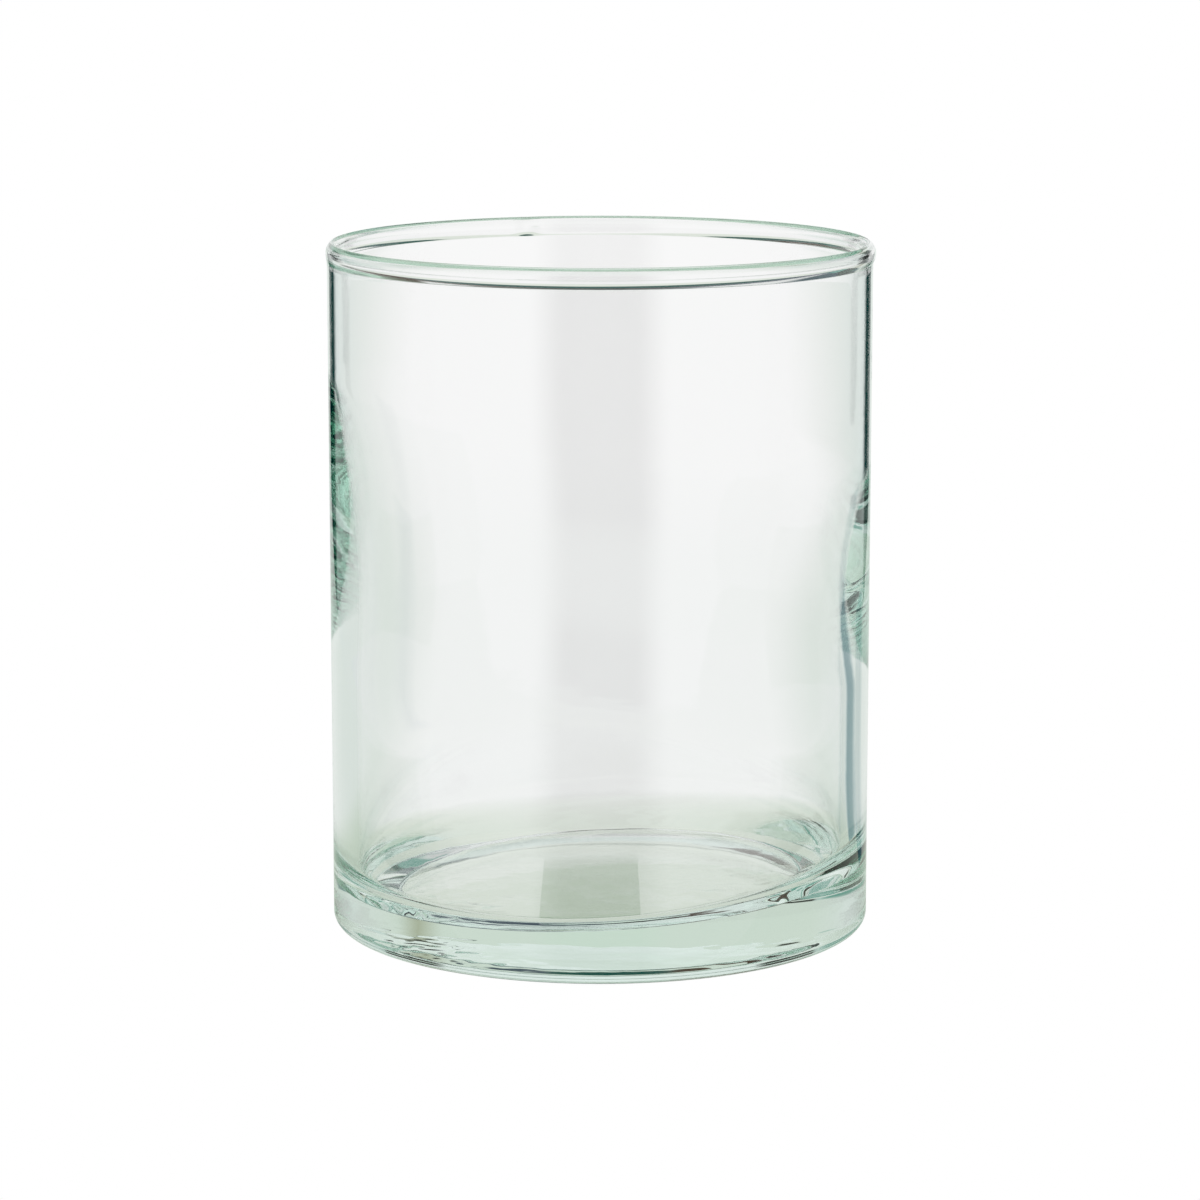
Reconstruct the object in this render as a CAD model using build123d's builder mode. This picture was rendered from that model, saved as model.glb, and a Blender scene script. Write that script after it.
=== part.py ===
"""Glass cylinder vase: one piece of blown and fire-polished soda-lime glass.

Row frame, millimetres: +Z up, the origin is the centre of the ring that the vase stands on.
"""

import os
from math import radians, tan

from build123d import *

# Driving dimensions
body_radius = 40.0  # outside of the straight cylindrical wall
height = 102.0  # standing surface to the top of the rim

wall_top = 1.0  # thin blown wall in the upper third
wall_bottom = 3.8  # thick wall in the lower half
settle_top_z = 75.0  # the wall starts to thicken here, going down
settle_bottom_z = 45.0  # and has its full thickness from here

floor_z = 6.5  # top of the solid glass floor
corner_width = 6.2  # inner corner between the bore and the edge of the flat floor
corner_height = 7.5
corner_slope = 32.0  # degrees, how steeply the corner starts at the edge of the floor
heel_radius = 1.8  # outside, between the wall and the underside
bearing_width = 5.2  # flat ring that touches the table
shoulder_width = 6.0  # gentle step from that ring up to the pressed disc
push_up = 0.18  # how far the pressed disc of the underside is raised

bead_out = 0.3  # how far the fire-polished rim stands out from the wall
bead_in = 0.6  # how far it stands into the mouth
bead_crown = 1.5  # from the bead's widest place to its top
neck_height = 1.6  # concave blend from the bead into the wall

# Worked out from them
bore_top_radius = body_radius - wall_top
bore_bottom_radius = body_radius - wall_bottom
floor_radius = bore_bottom_radius - corner_width
corner_top_z = floor_z + corner_height
bearing_outer_radius = body_radius - heel_radius
bearing_inner_radius = bearing_outer_radius - bearing_width
bead_outer_radius = body_radius + bead_out
bead_inner_radius = bore_top_radius - bead_in
bead_middle_radius = (bead_outer_radius + bead_inner_radius) / 2
bead_half_width = (bead_outer_radius - bead_inner_radius) / 2
bead_widest_z = height - bead_crown
neck_z = bead_widest_z - neck_height
disc_radius = bearing_inner_radius - shoulder_width
settle_third = (settle_top_z - settle_bottom_z) / 3
settle_start = (bore_top_radius - bore_bottom_radius) / 6
corner_run = 0.62 * corner_width
corner_rise = corner_run * tan(radians(corner_slope))

OUT = (1, 0)
UP = (0, 1)
DOWN = (0, -1)

os.makedirs("parts", exist_ok=True)

# The vase: half of its section in the XZ plane, drawn anticlockwise from the axis, turned about Z
with BuildPart() as vase_body:
    with BuildSketch(Plane.XZ):
        with BuildLine():
            # Underside: the pressed disc, its shoulder, the flat ring it stands on, then the heel
            Line((0, push_up), (disc_radius, push_up))
            Spline((disc_radius, push_up), (bearing_inner_radius, 0), tangents=[OUT, OUT])
            Line((bearing_inner_radius, 0), (bearing_outer_radius, 0))
            CenterArc((bearing_outer_radius, heel_radius), heel_radius, -90, 90)
            # Outside wall, neck and bead
            Line((body_radius, heel_radius), (body_radius, neck_z))
            Spline((body_radius, neck_z), (bead_outer_radius, bead_widest_z), tangents=[UP, UP])
            EllipticalCenterArc(
                (bead_middle_radius, bead_widest_z),
                bead_half_width,
                bead_crown,
                start_angle=0,
                arc_size=180,
            )
            Spline((bead_inner_radius, bead_widest_z), (bore_top_radius, neck_z), tangents=[DOWN, DOWN])
            # Bore: thin wall, the wave where the hot glass settled, thick wall
            Line((bore_top_radius, neck_z), (bore_top_radius, settle_top_z))
            Bezier(
                (bore_top_radius, settle_top_z),
                (bore_top_radius - settle_start, settle_top_z - settle_third),
                (bore_bottom_radius + settle_start, settle_bottom_z + settle_third),
                (bore_bottom_radius, settle_bottom_z),
            )
            Line((bore_bottom_radius, settle_bottom_z), (bore_bottom_radius, corner_top_z))
            # Rounded corner, which meets the flat floor at a soft ridge, and back to the axis
            Bezier(
                (bore_bottom_radius, corner_top_z),
                (bore_bottom_radius, corner_top_z - corner_height / 2),
                (floor_radius + corner_run, floor_z + corner_rise),
                (floor_radius, floor_z),
            )
            Line((floor_radius, floor_z), (0, floor_z))
            Line((0, floor_z), (0, push_up))
        make_face()
    revolve(axis=Axis.Z)

vase_body.part.label = "vase_body"
export_step(vase_body.part, "parts/vase_body.step")
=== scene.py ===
"""Looks of the glass cylinder vase: one piece of clear glass on a pale floor in a small photo studio.

Everything is in metres in the CAD part's frame: +Z up, the origin where the vase stands.
"""

import math

import bpy
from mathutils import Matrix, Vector, noise


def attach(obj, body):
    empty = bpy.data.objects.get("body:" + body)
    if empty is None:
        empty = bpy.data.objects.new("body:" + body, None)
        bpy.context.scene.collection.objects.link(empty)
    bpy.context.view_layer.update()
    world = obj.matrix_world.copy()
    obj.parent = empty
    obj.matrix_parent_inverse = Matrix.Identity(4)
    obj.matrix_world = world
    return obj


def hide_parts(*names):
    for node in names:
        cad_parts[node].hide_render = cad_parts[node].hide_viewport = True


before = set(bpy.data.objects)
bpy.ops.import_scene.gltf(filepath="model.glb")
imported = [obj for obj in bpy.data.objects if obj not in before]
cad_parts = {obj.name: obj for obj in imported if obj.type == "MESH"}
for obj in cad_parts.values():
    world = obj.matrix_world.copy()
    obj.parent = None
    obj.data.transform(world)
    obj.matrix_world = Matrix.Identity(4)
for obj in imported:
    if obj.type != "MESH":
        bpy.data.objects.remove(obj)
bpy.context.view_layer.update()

MM = 0.001

# The vase's section, the same named sizes as in the CAD source
BODY_RADIUS = 40.0 * MM
HEIGHT = 102.0 * MM
WALL_TOP = 1.0 * MM
WALL_BOTTOM = 3.8 * MM
SETTLE_TOP_Z = 75.0 * MM
SETTLE_BOTTOM_Z = 45.0 * MM
FLOOR_Z = 6.5 * MM
CORNER_WIDTH = 6.2 * MM
CORNER_HEIGHT = 7.5 * MM
CORNER_SLOPE = math.radians(32.0)
HEEL_RADIUS = 1.8 * MM
BEARING_WIDTH = 5.2 * MM
SHOULDER_WIDTH = 6.0 * MM
PUSH_UP = 0.18 * MM
BEAD_OUT = 0.3 * MM
BEAD_IN = 0.6 * MM
BEAD_CROWN = 1.5 * MM
NECK_HEIGHT = 1.6 * MM

# How the curves of the section run
SETTLE_FULLNESS = 0.5  # how much sooner than a plain S the bore thickens
CORNER_UPRIGHT = 0.5  # share of the corner's height that pulls it down along the wall
CORNER_RUN = 0.62  # share of its width that pulls it out along its slope
NECK_TURN = 0.85  # how far down its neck the bead's round side turns into the wall
CROWN_POWER = 1.65  # 2 would make the top of the bead a half ellipse, 1 a ridge

# How the fire-polished bead differs round the rim
BEAD_LEAN = 0.12 * MM  # it stands out this much more at +X and less at -X
BEAD_LEANER = 0.42 * MM  # its inner side is this much leaner at +Y
BEAD_LEANER_POWER = 3  # higher keeps the lean part nearer to +Y
KNOT_ANGLE = math.radians(107.0)
KNOT_WIDTH = math.radians(4.0)
KNOT_RISE = 0.32 * MM

# How unevenly the hot glass settled
SETTLE_TILT = 7.0 * MM  # the bore starts to thicken this much higher at -X and lower at +X
SETTLE_END_TILT = 2.0 * MM  # the same for where it is thickest
SETTLE_RUNS_ON = 5.0 * MM  # it is thickest this much lower than in the even section
CORNER_FRONT = 4.2 * MM  # the corner is this much lower at -Y
CORNER_FRONT_POWER = 1.5  # higher keeps the low part nearer to -Y
FLOOR_TILT = 2.0 * MM  # the floor is this much lower at -X and higher at +X
LEAN_TOP_Z = 38.0 * MM  # the floor's lean reaches up the bore as far as this
LEAN_RISE = 1.6  # and is full after 1 / this of the way down to the floor

# Chill wrinkles of the underside's disc: a few everywhere, more of them in two patches at its edge
WRINKLE_SIZE = 4.2 * MM
WRINKLE_HEIGHT = 0.08 * MM
WRINKLE_REST = 0.12
WRINKLE_START = 0.375  # share of the disc's radius where the patches start
WRINKLE_PATCHES = [  # direction, how narrow, share
    (math.radians(212.0), 6, 0.88),
    (math.radians(-28.0), 8, 0.4),
]
WRINKLE_LAYER = 0.5

# Faint ripples of the floor
RIPPLE_SIZE = 1.6 * MM
RIPPLE_HEIGHT = 0.004 * MM
RIPPLE_REACH = 0.9  # share of the floor's radius where they start to fade
RIPPLE_LAYER = 3.5

# Both have finer bumps on top of the coarse ones
FINE_TIMES = 2.3
FINE_SHARE = 0.35
FINE_LAYER = 7.0

# Mesh fineness: steps round the vase, and rows along each part of its section
STEPS_ROUND = 540
DISC_ROWS = 70
SHOULDER_ROWS = 16
BEARING_ROWS = 4
HEEL_ROWS = 56
OUTSIDE_ROWS = 90
NECK_ROWS = 24
HALF_CROWN_ROWS = 32
UPPER_BORE_ROWS = 20
SETTLE_ROWS = 70
LOWER_BORE_ROWS = 30
CORNER_ROWS = 28
FLOOR_ROWS = 70

# Glass
GLASS_IOR = 1.52
GLASS_TINT = (0.30, 0.74, 0.57)
GLASS_DENSITY = 4.0  # per metre
POLISH_PATCH = 12.0 * MM
POLISH_DETAIL = 3.0
POLISH_FROM = 0.45  # noise at which a duller patch starts
POLISH_TO = 0.75  # and at which it is dullest
POLISH_ROUGHNESS = 0.015
STREAK_LENGTH = 18.0 * MM
STREAK_STRETCH = 7.0
STREAK_DETAIL = 2.0
STREAK_STRENGTH = 1.0
STREAK_DEPTH = 0.006 * MM

# Camera: where the reference was seen from
CAMERA_BACK = 0.628
CAMERA_UP = 0.163
CAMERA_PITCH = math.radians(10.34)
CAMERA_LENS = 128.7
CAMERA_SENSOR = 36.0


def even(t):
    """0 to 1 at an even pace."""
    return t


def smooth(t):
    """0 to 1 with level ends."""
    t = min(1.0, max(0.0, t))
    return t * t * (3.0 - 2.0 * t)


def settling(t):
    """0 to 1 sooner than smooth, still with a level end."""
    return smooth(t) + SETTLE_FULLNESS * t * (1.0 - t) ** 2


def run(start, stop, steps, across=even, along=even):
    """Points of the section, both ends included; across and along pace the radius and the height."""
    points = []
    for i in range(steps + 1):
        t = i / steps
        radius = start[0] + (stop[0] - start[0]) * across(t)
        points.append((radius, start[1] + (stop[1] - start[1]) * along(t)))
    return points


def arc(centre, radius, start, stop, steps):
    """Points of an arc of the section, both ends included, angles in degrees."""
    points = []
    for i in range(steps + 1):
        a = math.radians(start + (stop - start) * i / steps)
        points.append((centre[0] + radius * math.cos(a), centre[1] + radius * math.sin(a)))
    return points


def corner(start, stop, steps):
    """Points from the foot of the bore to the edge of the floor, which it meets at CORNER_SLOPE."""
    reach = CORNER_RUN * (start[0] - stop[0])
    from_wall = (start[0], start[1] - CORNER_UPRIGHT * (start[1] - stop[1]))
    to_floor = (stop[0] + reach, stop[1] + reach * math.tan(CORNER_SLOPE))
    places = (start, from_wall, to_floor, stop)
    points = []
    for i in range(steps + 1):
        t = i / steps
        u = 1.0 - t
        weights = (u * u * u, 3 * u * u * t, 3 * u * t * t, t * t * t)
        points.append(tuple(sum(w * p[k] for w, p in zip(weights, places)) for k in range(2)))
    return points


def neck(start, stop, steps):
    """Points from the bead's widest place down its neck to the straight wall."""
    points = []
    for i in range(steps + 1):
        t = i / steps
        if t < NECK_TURN:
            bulge = 1.0 - t * t / NECK_TURN
        else:
            bulge = (1.0 - t) ** 2 / (1.0 - NECK_TURN)
        radius = stop[0] + (start[0] - stop[0]) * bulge
        points.append((radius, start[1] + (stop[1] - start[1]) * t))
    return points


def crown(outer, inner, widest_z):
    """Points over the top of the bead, from its outer to its inner widest place, a little peaked."""
    points = []
    for i in range(2 * HALF_CROWN_ROWS + 1):
        t = math.pi * i / (2 * HALF_CROWN_ROWS)
        reach = math.copysign(abs(math.cos(t)) ** (2 / CROWN_POWER), math.cos(t))
        rise = math.sin(t) ** (2 / CROWN_POWER)
        radius = (outer + inner) / 2 + (outer - inner) / 2 * reach
        points.append((radius, widest_z + BEAD_CROWN * rise))
    return points


def bead_sizes(angle):
    """Outer and inner radius of the rim bead, its widest height, and the height of its neck's foot."""
    away = abs(math.remainder(angle - KNOT_ANGLE, 2 * math.pi)) / KNOT_WIDTH
    outer = BODY_RADIUS + BEAD_OUT + BEAD_LEAN * math.cos(angle)
    leaner = BEAD_LEANER * max(0.0, math.sin(angle)) ** BEAD_LEANER_POWER
    full = BEAD_IN - leaner + KNOT_RISE * (1.0 - smooth(away))
    inner = BODY_RADIUS - WALL_TOP - full
    widest_z = HEIGHT - BEAD_CROWN
    return outer, inner, widest_z, widest_z - NECK_HEIGHT


def outer_section(angle):
    """(radius, z) from the middle of the underside, round the heel and up to the top of the rim."""
    bearing_outer = BODY_RADIUS - HEEL_RADIUS
    bearing_inner = bearing_outer - BEARING_WIDTH
    disc_radius = bearing_inner - SHOULDER_WIDTH
    outer, inner, widest_z, neck_z = bead_sizes(angle)
    points = run((0.0, PUSH_UP), (disc_radius, PUSH_UP), DISC_ROWS)
    points += run((disc_radius, PUSH_UP), (bearing_inner, 0.0), SHOULDER_ROWS, along=smooth)[1:]
    points += run((bearing_inner, 0.0), (bearing_outer, 0.0), BEARING_ROWS)[1:]
    points += arc((bearing_outer, HEEL_RADIUS), HEEL_RADIUS, -90, 0, HEEL_ROWS)[1:]
    points += run((BODY_RADIUS, HEEL_RADIUS), (BODY_RADIUS, neck_z), OUTSIDE_ROWS)[1:]
    points += neck((outer, widest_z), (BODY_RADIUS, neck_z), NECK_ROWS)[-2::-1]
    points += crown(outer, inner, widest_z)[1:HALF_CROWN_ROWS + 1]
    return points


def inner_section(angle):
    """(radius, z) from the top of the rim, down the bore and across the floor to the axis."""
    bore_top = BODY_RADIUS - WALL_TOP
    bore_bottom = BODY_RADIUS - WALL_BOTTOM
    floor_radius = bore_bottom - CORNER_WIDTH
    settle_top = SETTLE_TOP_Z - SETTLE_TILT * math.cos(angle)
    settle_bottom = SETTLE_BOTTOM_Z - SETTLE_RUNS_ON - SETTLE_END_TILT * math.cos(angle)
    front = max(0.0, -math.sin(angle)) ** CORNER_FRONT_POWER
    corner_top = FLOOR_Z + CORNER_HEIGHT - CORNER_FRONT * front
    outer, inner, widest_z, neck_z = bead_sizes(angle)
    points = crown(outer, inner, widest_z)[HALF_CROWN_ROWS + 1:]
    points += neck((inner, widest_z), (bore_top, neck_z), NECK_ROWS)[1:]
    points += run((bore_top, neck_z), (bore_top, settle_top), UPPER_BORE_ROWS)[1:]
    points += run((bore_top, settle_top), (bore_bottom, settle_bottom), SETTLE_ROWS, across=settling)[1:]
    points += run((bore_bottom, settle_bottom), (bore_bottom, corner_top), LOWER_BORE_ROWS)[1:]
    points += corner((bore_bottom, corner_top), (floor_radius, FLOOR_Z), CORNER_ROWS)[1:]
    points += run((floor_radius, FLOOR_Z), (0.0, FLOOR_Z), FLOOR_ROWS)[1:]
    return points


def bumps(x, y, size, layer):
    """Smooth bumps about this size across, a little over 1 high at most, the same on every run."""
    coarse = noise.noise(Vector((x / size, y / size, layer)))
    finer = Vector((FINE_TIMES * x / size, FINE_TIMES * y / size, layer + FINE_LAYER))
    return coarse + FINE_SHARE * noise.noise(finer)


def underside_shift(x, y):
    """Wrinkles of the pressed disc under the vase, strongest near its edge at -X."""
    disc_radius = BODY_RADIUS - HEEL_RADIUS - BEARING_WIDTH - SHOULDER_WIDTH
    out = math.hypot(x, y)
    inside = 1.0 - smooth((out - disc_radius) / SHOULDER_WIDTH)
    outward = smooth((out / disc_radius - WRINKLE_START) / (1.0 - WRINKLE_START))
    angle = math.atan2(y, x)
    share = WRINKLE_REST
    for direction, narrow, most in WRINKLE_PATCHES:
        share += outward * most * max(0.0, math.cos(angle - direction)) ** narrow
    return WRINKLE_HEIGHT * inside * share * bumps(x, y, WRINKLE_SIZE, WRINKLE_LAYER)


def floor_shift(x, y):
    """Ripples of the floor inside."""
    floor_radius = BODY_RADIUS - WALL_BOTTOM - CORNER_WIDTH
    out = math.hypot(x, y) / floor_radius
    inside = 1.0 - smooth((out - RIPPLE_REACH) / (1.0 - RIPPLE_REACH))
    return RIPPLE_HEIGHT * inside * bumps(x, y, RIPPLE_SIZE, RIPPLE_LAYER)


def floor_lean(x, z):
    """How much the floor's lean lifts a place of the inside."""
    down = smooth((LEAN_TOP_Z - z) / (LEAN_TOP_Z - FLOOR_Z) * LEAN_RISE)
    return FLOOR_TILT * (x / BODY_RADIUS) * down


def vase_mesh(name):
    """The closed glass, turned about Z, with a section that changes slowly round the vase."""
    steps = STEPS_ROUND
    angles = [2 * math.pi * i / steps for i in range(steps)]
    sections = [outer_section(angle) + inner_section(angle) for angle in angles]
    outer_rows = len(outer_section(0.0))
    rows = len(sections[0]) - 2
    verts = [(0.0, 0.0, sections[0][0][1] + underside_shift(0.0, 0.0))]
    for k in range(1, rows + 1):
        for angle, section in zip(angles, sections):
            radius, z = section[k]
            x = radius * math.cos(angle)
            y = radius * math.sin(angle)
            if k < DISC_ROWS + SHOULDER_ROWS:
                z += underside_shift(x, y)
            if k > rows - FLOOR_ROWS:
                z += floor_shift(x, y)
            if k >= outer_rows:
                z += floor_lean(x, z)
            verts.append((x, y, z))
    verts.append((0.0, 0.0, sections[0][-1][1] + floor_shift(0.0, 0.0)))
    last = len(verts) - 1
    top = 1 + (rows - 1) * steps
    faces = [(0, 1 + (i + 1) % steps, 1 + i) for i in range(steps)]
    for k in range(rows - 1):
        low = 1 + k * steps
        high = low + steps
        for i in range(steps):
            j = (i + 1) % steps
            faces.append((low + i, low + j, high + j, high + i))
    faces += [(last, top + i, top + (i + 1) % steps) for i in range(steps)]
    mesh = bpy.data.meshes.new(name)
    mesh.from_pydata(verts, [], faces)
    mesh.shade_smooth()
    return mesh


def glass_material():
    """Clear glass, greenish where it is thick, with patches of duller polish and level streaks."""
    material = bpy.data.materials.new("clear_glass")
    material.use_nodes = True
    nodes = material.node_tree.nodes
    links = material.node_tree.links
    shader = nodes["Principled BSDF"]
    shader.inputs["Base Color"].default_value = (1.0, 1.0, 1.0, 1.0)
    shader.inputs["IOR"].default_value = GLASS_IOR
    shader.inputs["Transmission Weight"].default_value = 1.0
    # Fire polish: almost perfectly smooth, with faint patches where the mould left its skin
    place = nodes.new("ShaderNodeTexCoord")
    patches = nodes.new("ShaderNodeTexNoise")
    patches.inputs["Scale"].default_value = 1.0 / POLISH_PATCH
    patches.inputs["Detail"].default_value = POLISH_DETAIL
    links.new(place.outputs["Object"], patches.inputs["Vector"])
    polish = nodes.new("ShaderNodeMapRange")
    polish.inputs["From Min"].default_value = POLISH_FROM
    polish.inputs["From Max"].default_value = POLISH_TO
    polish.inputs["To Min"].default_value = 0.0
    polish.inputs["To Max"].default_value = POLISH_ROUGHNESS
    links.new(patches.outputs["Fac"], polish.inputs["Value"])
    links.new(polish.outputs["Result"], shader.inputs["Roughness"])
    # Chill marks of the mould: faint level streaks, a little waved
    stretch = nodes.new("ShaderNodeMapping")
    stretch.inputs["Scale"].default_value = (1.0, 1.0, STREAK_STRETCH)
    links.new(place.outputs["Object"], stretch.inputs["Vector"])
    streaks = nodes.new("ShaderNodeTexNoise")
    streaks.inputs["Scale"].default_value = 1.0 / STREAK_LENGTH
    streaks.inputs["Detail"].default_value = STREAK_DETAIL
    links.new(stretch.outputs["Vector"], streaks.inputs["Vector"])
    bump = nodes.new("ShaderNodeBump")
    bump.inputs["Strength"].default_value = STREAK_STRENGTH
    bump.inputs["Distance"].default_value = STREAK_DEPTH
    links.new(streaks.outputs["Fac"], bump.inputs["Height"])
    links.new(bump.outputs["Normal"], shader.inputs["Normal"])
    absorb = nodes.new("ShaderNodeVolumeAbsorption")
    absorb.inputs["Color"].default_value = (*GLASS_TINT, 1.0)
    absorb.inputs["Density"].default_value = GLASS_DENSITY
    links.new(absorb.outputs["Volume"], nodes["Material Output"].inputs["Volume"])
    return material


# ---- The vase ----
vase = bpy.data.objects.new("vase_glass", vase_mesh("vase_glass"))
bpy.context.scene.collection.objects.link(vase)
vase.data.materials.append(glass_material())
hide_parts("vase_body")
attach(vase, "root")

# ---- Camera ----
camera_data = bpy.data.cameras.new("camera")
camera_data.lens = CAMERA_LENS
camera_data.sensor_width = CAMERA_SENSOR
camera = bpy.data.objects.new("camera", camera_data)
camera.location = (0.0, -CAMERA_BACK, CAMERA_UP)
camera.rotation_euler = (math.pi / 2 - CAMERA_PITCH, 0.0, 0.0)
bpy.context.scene.collection.objects.link(camera)
bpy.context.scene.camera = camera

# ---- Stage ----
# What the glass bends and mirrors: a studio dome, a light table with painted shade under the vase, a
# strip of painted shade under the vase and a flag. They turn with the camera, which itself sees only the
# paper floor and the white world.

# Its lights and cloths, the lightest first; a plain number is a grey
SOFT = 0.85
DIM = (0.76, 0.82, 0.78)
MIST = (0.74, 0.79, 0.72)
HAZE = (0.72, 0.75, 0.69)
DEEP = (0.70, 0.78, 0.72)
SIDE = (0.62, 0.70, 0.68)
SHADE = (0.45, 0.45, 0.34)
TEAL_CARD = (0.13, 0.33, 0.28)
FLAG_DARK = (0.10, 0.22, 0.245)
TEAL = (0.0, 0.065, 0.052)
SLATE = (0.030, 0.052, 0.085)
FLAG = (0.0, 0.030, 0.028)
BROWN = (0.050, 0.020, 0.008)
GAP = (0.02, 0.018, 0.012)
BLACK = (0.006, 0.005, 0.004)


def both_sides(right, left=None):
    """Stops right of the middle and, mirrored, left of it."""
    return [(-a, c) for a, c in reversed(left or right)] + right


# Rings of the dome: (azimuth in degrees from behind the vase, light)
AT_CAMERA = [(150, SOFT), (163, GAP), (180, GAP)]
FRONT = [(90, SOFT)] + AT_CAMERA

DEEP_RING = [(-180, DEEP), (180, DEEP)]

LOW_MIDDLE = [(0, 0.94), (5, 0.94), (12, DIM), (17.6, DIM)]
LOW_SIDE = [(18.1, FLAG), (29, FLAG), (30, SIDE), (60, 0.8)]
LOW_RING = both_sides(LOW_MIDDLE + LOW_SIDE + FRONT)

CARD_MIDDLE = [(0, 0.93), (25, 0.85), (25.5, BLACK), (40, BLACK), (41, SIDE)]
CARD_RIGHT = [(60, 0.8)]
CARD_LEFT = [(46, TEAL_CARD), (76, TEAL_CARD), (80, 0.8)]
CARD_RING = both_sides(CARD_MIDDLE + CARD_RIGHT + FRONT, CARD_MIDDLE + CARD_LEFT + FRONT)

HIGH_RIGHT = [(0, MIST), (6, MIST), (10, HAZE), (25, HAZE), (31, SHADE), (37, HAZE)]
HIGH_LEFT = [(0, MIST), (6, MIST), (10, HAZE), (40, HAZE)]
HIGH_SIDE = [(60, 0.8), (90, 0.65), (150, 0.8), (163, GAP), (180, GAP)]
HIGH_RING = both_sides(HIGH_RIGHT + HIGH_SIDE, HIGH_LEFT + HIGH_SIDE)

TEAL_RIGHT = [(0, TEAL), (8, TEAL), (10, SLATE), (24.5, SLATE)]
TEAL_LEFT = [(0, TEAL), (8, TEAL), (10, BROWN), (24.5, BROWN)]
TEAL_SIDE = [(25, BLACK), (40, BLACK), (44, TEAL_CARD), (88, TEAL_CARD), (92, SOFT)] + AT_CAMERA
TEAL_RING = both_sides(TEAL_RIGHT + TEAL_SIDE, TEAL_LEFT + TEAL_SIDE)

DARK_RIGHT = [(0, BLACK), (3, BLACK), (9, SLATE), (50, SLATE)]
DARK_LEFT = [(0, BLACK), (3, BLACK), (9, BROWN), (50, BROWN)]
DARK_SIDE = [(58, 0.8), (72, 0.7)] + FRONT
DARK_RING = both_sides(DARK_RIGHT + DARK_SIDE, DARK_LEFT + DARK_SIDE)

TOP_RING = both_sides([(0, 0.8), (60, 0.8), (180, 0.75)])

# The dome from below: (elevation in degrees where a ring starts, degrees over which it fades in, ring)
DOME_RADIUS = 3.0
DOME_SEGMENTS = 96
DOME_ROWS = 48
DOME_RINGS = [
    (-90.0, 0.0, DEEP_RING),
    (-28.0, 4.0, LOW_RING),
    (0.0, 0.5, CARD_RING),
    (12.5, 0.5, HIGH_RING),
    (20.6, 1.0, TEAL_RING),
    (30.0, 1.0, DARK_RING),
    (49.0, 3.0, TOP_RING),
]

# The light table starts just in front of the vase. Its light goes by distance behind the vase's
# middle, times light by distance aside, which is taken where the camera's sight passes the vase
TABLE_HALF = 0.167
TABLE_FRONT = -0.045
TABLE_BACK = 2.5
TABLE_Z = -0.0002
# Painted shade on the table: darkest right under the vase, lighter round its foot
TABLE_SHADE_UNDER = (0.62, 0.68, 0.60)
TABLE_SHADE_FOOT = (0.72, 0.77, 0.69)
TABLE_NEAR_SHADE = [(0.0, TABLE_SHADE_UNDER), (0.012, TABLE_SHADE_UNDER), (0.036, TABLE_SHADE_FOOT)]
TABLE_TONES = TABLE_NEAR_SHADE + [(0.06, 0.91), (0.3, 0.94), (1.0, 0.95)]
TABLE_EDGE = [(0.044, (0.90, 0.92, 0.90)), (0.056, (0.81, 0.86, 0.82)), (0.08, DIM)]
TABLE_SIDES = [(0.0, 1.0), (0.036, 1.0)] + TABLE_EDGE

# The strip of painted shade on the table under the vase: its corners, and its light by distance behind
# the vase's middle
STRIP_LOW = (-0.0085, -0.026)
STRIP_HIGH = (0.0062, 0.03)
STRIP_Z = -0.0001
STRIP_SHADE = (0.37, 0.46, 0.35)
STRIP_END = (0.60, 0.66, 0.58)
STRIP_TONES = [(0.0, STRIP_SHADE), (0.014, STRIP_SHADE), (0.019, STRIP_END), (0.03, TABLE_SHADE_FOOT)]

# The slate flag beside the vase, upright on a foot that narrows towards the vase. Its light goes by
# the angle in degrees from +X, seen from one place at the vase's side
FLAG_X = 0.105
FLAG_NEAR = 0.064
FLAG_FAR = 0.108
FLAG_TOP = 0.03
FOOT_X = 0.06
FOOT_NEAR = 0.026
FOOT_FAR = 0.045
FLAG_FROM = (0.036, 0.0)
FLAG_STOPS = [(43, SIDE), (46, FLAG_DARK), (53, FLAG_DARK), (58, SIDE)]

# The real floor, and how often light is followed: it runs far along the inside of the wall
PAPER_HALF = 6.0
PAPER_Z = -0.0003
BOUNCES = 128


def math_node(nodes, links, operation, *values):
    """Arithmetic on numbers or sockets."""
    node = nodes.new("ShaderNodeMath")
    node.operation = operation
    for i, value in enumerate(values):
        if isinstance(value, (int, float)):
            node.inputs[i].default_value = value
        else:
            links.new(value, node.inputs[i])
    return node.outputs[0]


def ramp_node(nodes, links, factor, stops):
    """A ramp through (place, grey or colour) stops."""
    node = nodes.new("ShaderNodeValToRGB")
    links.new(factor, node.inputs["Fac"])
    ramp = node.color_ramp
    while len(ramp.elements) > 1:
        ramp.elements.remove(ramp.elements[0])
    for i, (place, colour) in enumerate(stops):
        element = ramp.elements[0] if i == 0 else ramp.elements.new(place)
        element.position = place
        if isinstance(colour, (int, float)):
            colour = (colour, colour, colour)
        element.color = (*colour, 1.0)
    return node.outputs["Color"]


def mix_node(nodes, links, first, second):
    """Two colours that can be mixed: the node, whose mix is its output 2."""
    node = nodes.new("ShaderNodeMix")
    node.data_type = "RGBA"
    links.new(first, node.inputs[6])
    links.new(second, node.inputs[7])
    return node


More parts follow.
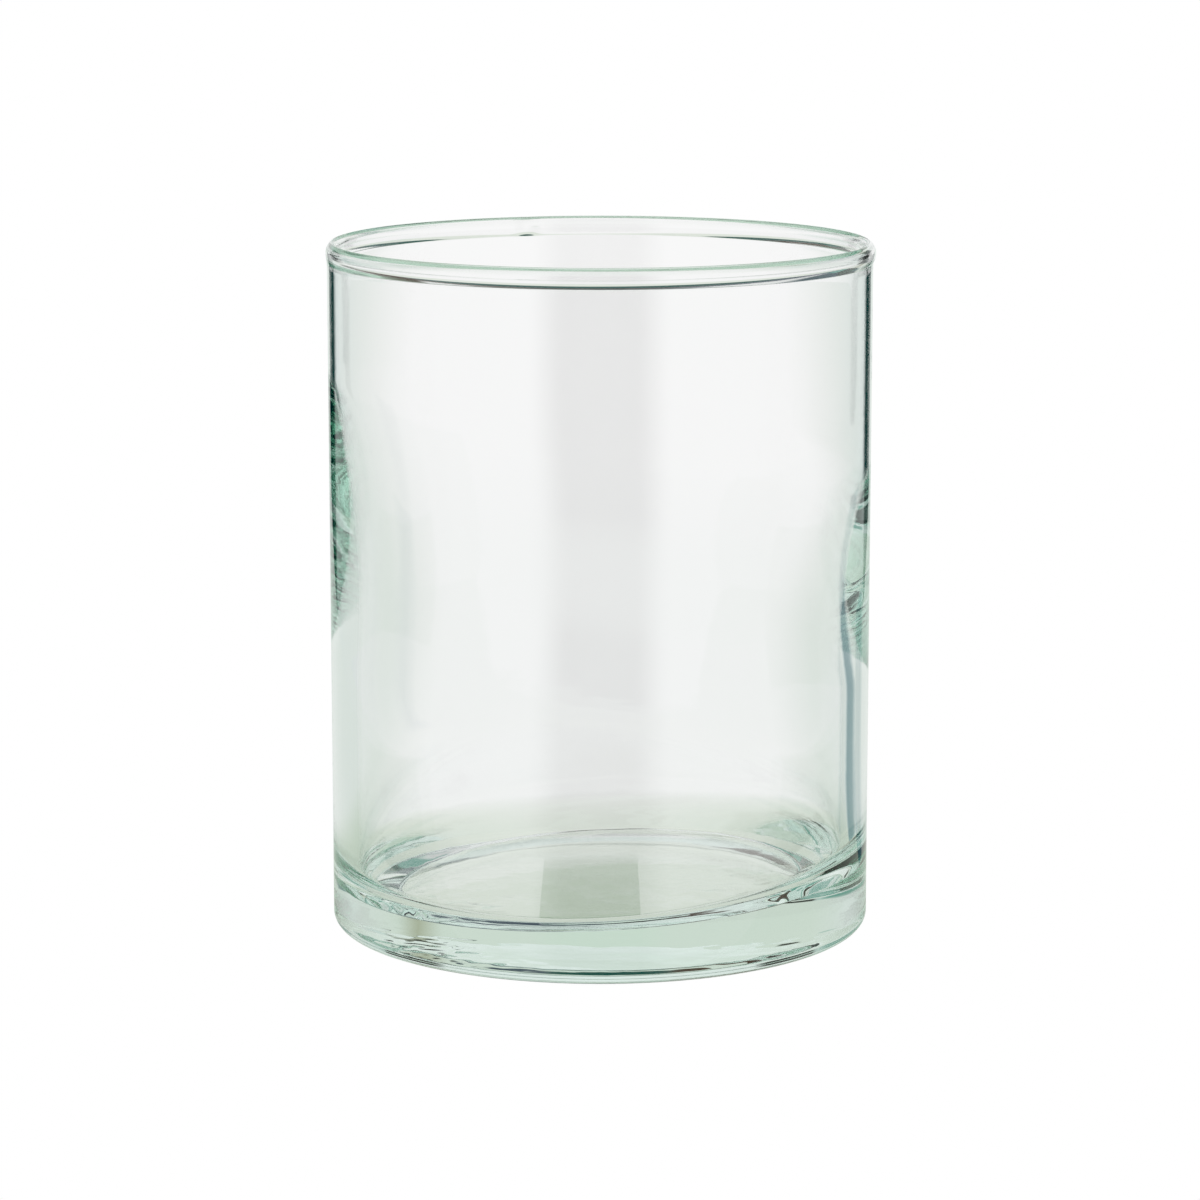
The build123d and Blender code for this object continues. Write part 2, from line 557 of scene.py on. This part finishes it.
def dome_light(nodes, links, place):
    """Light by direction: azimuth 0 is behind the vase, positive to the right, 180 at the camera."""
    turn = math_node(nodes, links, "ARCTAN2", place["X"], place["Y"])
    turn = math_node(nodes, links, "DIVIDE", turn, 2 * math.pi)
    turn = math_node(nodes, links, "ADD", turn, 0.5)
    height = math_node(nodes, links, "DIVIDE", place["Z"], DOME_RADIUS)
    height = math_node(nodes, links, "ARCSINE", height)
    height = math_node(nodes, links, "DIVIDE", height, math.pi)
    height = math_node(nodes, links, "ADD", height, 0.5)
    colour = None
    for bottom, fade, ring in DOME_RINGS:
        light = ramp_node(nodes, links, turn, [((a + 180.0) / 360.0, c) for a, c in ring])
        if colour is not None:
            ends = ((bottom, 0.0), (bottom + fade, 1.0))
            share = ramp_node(nodes, links, height, [((e + 90.0) / 180.0, c) for e, c in ends])
            mix = mix_node(nodes, links, colour, light)
            links.new(share, mix.inputs["Factor"])
            light = mix.outputs[2]
        colour = light
    return colour


def table_light(nodes, links, place):
    """Light by distance behind the vase, with painted shade under it, times light by distance aside."""
    depth = ramp_node(nodes, links, place["Y"], TABLE_TONES)
    aside = math_node(nodes, links, "ABSOLUTE", place["X"])
    away = math_node(nodes, links, "ADD", place["Y"], CAMERA_BACK)
    aside = math_node(nodes, links, "DIVIDE", aside, away)
    aside = math_node(nodes, links, "MULTIPLY", aside, CAMERA_BACK)
    sides = ramp_node(nodes, links, aside, TABLE_SIDES)
    mix = mix_node(nodes, links, depth, sides)
    mix.blend_type = "MULTIPLY"
    mix.inputs["Factor"].default_value = 1.0
    return mix.outputs[2]


def strip_shade(nodes, links, place):
    """The strip's painted shade, which fades out at its far end."""
    return ramp_node(nodes, links, place["Y"], STRIP_TONES)


def flag_light(nodes, links, place):
    """The flag's slate with soft edges, dark along one direction from the vase's side."""
    beside = math_node(nodes, links, "SUBTRACT", place["X"], FLAG_FROM[0])
    behind = math_node(nodes, links, "SUBTRACT", place["Y"], FLAG_FROM[1])
    turn = math_node(nodes, links, "ARCTAN2", behind, beside)
    turn = math_node(nodes, links, "DIVIDE", turn, math.pi / 2)
    return ramp_node(nodes, links, turn, [(a / 90.0, c) for a, c in FLAG_STOPS])


def light_material(name, light=None):
    """A material that only gives off light: white, or what light makes of the place on the object."""
    material = bpy.data.materials.new(name)
    material.use_nodes = True
    nodes = material.node_tree.nodes
    links = material.node_tree.links
    nodes.remove(nodes["Principled BSDF"])
    emission = nodes.new("ShaderNodeEmission")
    emission.inputs["Color"].default_value = (1.0, 1.0, 1.0, 1.0)
    links.new(emission.outputs["Emission"], nodes["Material Output"].inputs["Surface"])
    if light:
        place = nodes.new("ShaderNodeTexCoord")
        split = nodes.new("ShaderNodeSeparateXYZ")
        links.new(place.outputs["Object"], split.inputs[0])
        links.new(light(nodes, links, split.outputs), emission.inputs["Color"])
    return material


def level(low, high, z):
    """The corners of a level sheet."""
    return [(low[0], low[1], z), (high[0], low[1], z), (high[0], high[1], z), (low[0], high[1], z)]


def upright(x, near, far, low, high):
    """The corners of a sheet that stands facing sideways."""
    return [(x, near, low), (x, far, low), (x, far, high), (x, near, high)]


def sheet(name, corners, material):
    """A flat sheet through four corners."""
    mesh = bpy.data.meshes.new(name)
    mesh.from_pydata(corners, [], [(0, 1, 2, 3)])
    mesh.materials.append(material)
    obj = bpy.data.objects.new(name, mesh)
    bpy.context.scene.collection.objects.link(obj)
    return obj


def on_rig(obj):
    """Turn an object with the rig, and show it only in and through the glass."""
    obj.parent = rig
    obj.visible_camera = False
    obj.visible_diffuse = False
    obj.visible_shadow = False


rig = bpy.data.objects.new("rig", None)
bpy.context.scene.collection.objects.link(rig)
facing = rig.constraints.new("LOCKED_TRACK")
facing.target = camera
facing.track_axis = "TRACK_NEGATIVE_Y"
facing.lock_axis = "LOCK_Z"

bpy.ops.mesh.primitive_uv_sphere_add(segments=DOME_SEGMENTS, ring_count=DOME_ROWS, radius=DOME_RADIUS)
dome = bpy.context.object
dome.name = "dome"
dome.data.materials.append(light_material("studio_dome", dome_light))
on_rig(dome)

table_corners = level((-TABLE_HALF, TABLE_FRONT), (TABLE_HALF, TABLE_BACK), TABLE_Z)
on_rig(sheet("table", table_corners, light_material("table_light", table_light)))

# The strip: painted shade on the table under the vase, darkest under its middle
strip_corners = level(STRIP_LOW, STRIP_HIGH, STRIP_Z)
on_rig(sheet("strip", strip_corners, light_material("strip_painted_shade", strip_shade)))

flag_corners = upright(FLAG_X, FLAG_NEAR, FLAG_FAR, 0.0, FLAG_TOP)
foot_corners = [
    (FOOT_X, FOOT_NEAR, 0.0),
    (FLAG_X, FLAG_NEAR, 0.0),
    (FLAG_X, FLAG_FAR, 0.0),
    (FOOT_X, FOOT_FAR, 0.0),
]
flag_cloth = light_material("flag_cloth", flag_light)
on_rig(sheet("right_flag", flag_corners, flag_cloth))
on_rig(sheet("right_flag_foot", foot_corners, flag_cloth))

floor_corners = level((-PAPER_HALF, -PAPER_HALF), (PAPER_HALF, PAPER_HALF), 0.0)
floor = sheet("floor", floor_corners, light_material("floor_paper"))
floor.location.z = PAPER_Z
floor.visible_transmission = False
floor.visible_glossy = False

world = bpy.data.worlds.new("studio")
bpy.context.scene.world = world
world.use_nodes = True
world.node_tree.nodes["Background"].inputs["Color"].default_value = (1.0, 1.0, 1.0, 1.0)
world.node_tree.nodes["Background"].inputs["Strength"].default_value = 1.0

scene = bpy.context.scene
scene.view_settings.view_transform = "Standard"
scene.cycles.max_bounces = BOUNCES
scene.cycles.transmission_bounces = BOUNCES
scene.cycles.glossy_bounces = BOUNCES
scene.cycles.blur_glossy = 0.0
